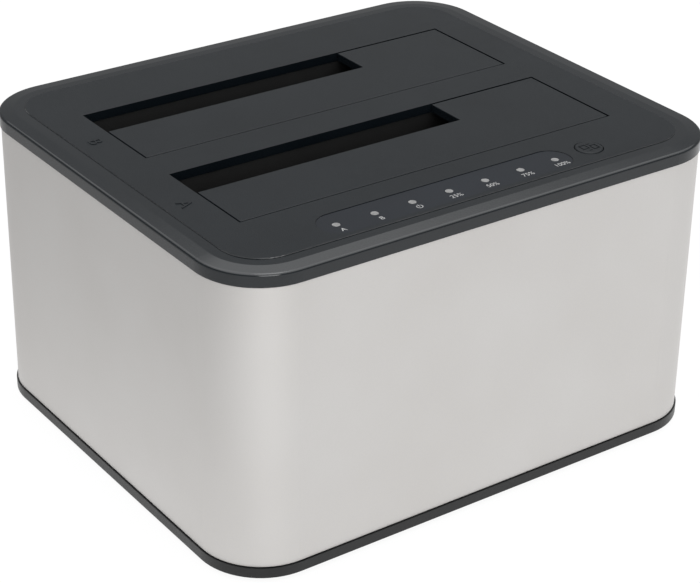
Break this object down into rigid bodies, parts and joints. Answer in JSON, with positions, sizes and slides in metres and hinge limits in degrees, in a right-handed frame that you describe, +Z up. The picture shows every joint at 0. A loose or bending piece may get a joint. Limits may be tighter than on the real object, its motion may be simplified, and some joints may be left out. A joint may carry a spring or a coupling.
{
  "type": "hard drive docking station",
  "caption": "Desktop docking station for bare disk drives: rounded metal sleeve, dark plastic top with two sprung-flap bays, status lights and a copy button, ports at the back.",
  "frame": {"origin": "on the surface it stands on, under the centre of the overall box", "axes": "+X to the right along the wide front, +Y from the front to the back, +Z up"},
  "size_m": [0.1356, 0.118, 0.0765],
  "materials": {
    "cover_plastic": "fine matt texture on top, satin rim",
    "shell_aluminium": "sand-blasted and anodised, satin silver",
    "base_plastic": "satin moulded black",
    "inner_plastic": "moulded black",
    "foot_rubber": "matt",
    "steel": "plain steel",
    "screw_steel": "zinc plated",
    "circuit_board": "green solder mask",
    "socket_plastic": "moulded black",
    "contact_gold": "gold flash",
    "socket_steel": "tin plated",
    "usb_plastic": "moulded blue",
    "chip_plastic": "moulded black",
    "coil_ferrite": "pressed ferrite",
    "capacitor_can": "bright can",
    "lead_insulation": "wire sleeve",
    "ribbon_film": "flat cable film",
    "header_plastic": "moulded cream",
    "clear_plastic": "clear moulding with frosted tips",
    "overlay_film": "smoked film with pale print",
    "led_lens": "pale lens"
  },
  "bodies": {
    "dock": {"top_cover": "cover_plastic", "outer_shell": "shell_aluminium", "base_tray": "base_plastic", "drive_frame": "inner_plastic", "front_flap_pin": "steel", "rear_flap_pin": "steel", "front_flap_spring": "steel", "rear_flap_spring": "steel", "main_board": "circuit_board", "front_drive_socket": "socket_plastic", "rear_drive_socket": "socket_plastic", "front_drive_contacts": "contact_gold", "rear_drive_contacts": "contact_gold", "usb_shell": "socket_steel", "usb_insulator": "usb_plastic", "jack_housing": "socket_plastic", "jack_pin": "socket_steel", "power_switch_housing": "socket_plastic", "power_switch_terminals": "socket_steel", "power_switch_leads": "lead_insulation", "bridge_chip": "chip_plastic", "power_chips": "chip_plastic", "power_coils": "coil_ferrite", "capacitors": "capacitor_can", "crystal": "socket_steel", "indicator_board": "circuit_board", "indicator_leds": "led_lens", "light_guide": "clear_plastic", "indicator_overlay": "overlay_film", "clone_switch_case": "socket_steel", "ribbon_cable": "ribbon_film", "ribbon_headers": "header_plastic", "case_screws": "screw_steel", "board_screws": "screw_steel", "frame_screws": "screw_steel", "indicator_screws": "screw_steel", "front_left_foot": "foot_rubber", "front_right_foot": "foot_rubber", "rear_left_foot": "foot_rubber", "rear_right_foot": "foot_rubber"},
    "front_flap": {"front_flap": "cover_plastic"},
    "rear_flap": {"rear_flap": "cover_plastic"},
    "clone_button": {"clone_button": "cover_plastic"},
    "clone_plunger": {"clone_switch_plunger": "socket_plastic"},
    "power_rocker": {"power_rocker": "socket_plastic"}
  },
  "joints": [
    {"name": "front_flap_hinge", "type": "hinge", "parent": "dock", "child": "front_flap", "pos_m": [0, -0.03675, 0.07225], "axis": [-1, 0, 0], "range_deg": [0, 90], "stiffness_Nm_per_rad": 0.003, "springref_deg": -45.84, "deforming": ["front_flap_spring"]},
    {"name": "rear_flap_hinge", "type": "hinge", "parent": "dock", "child": "rear_flap", "pos_m": [0, 0.00245, 0.07225], "axis": [-1, 0, 0], "range_deg": [0, 90], "stiffness_Nm_per_rad": 0.003, "springref_deg": -45.84, "deforming": ["rear_flap_spring"]},
    {"name": "clone_button_press", "type": "slide", "parent": "dock", "child": "clone_button", "axis": [0, 0, -1], "range_m": [0, 0.0005], "stiffness_N_per_m": 250, "springref_m": -0.002},
    {"name": "clone_plunger_press", "type": "slide", "parent": "dock", "child": "clone_plunger", "axis": [0, 0, -1], "range_m": [0, 0.0005]},
    {"name": "power_rocker_tilt", "type": "hinge", "parent": "dock", "child": "power_rocker", "pos_m": [0.037, 0.05445, 0.025], "axis": [-1, 0, 0], "range_deg": [0, 18]}
  ],
  "couplings": [
    {"joint": "clone_plunger_press", "follows": "clone_button_press", "ratio": 1}
  ]
}
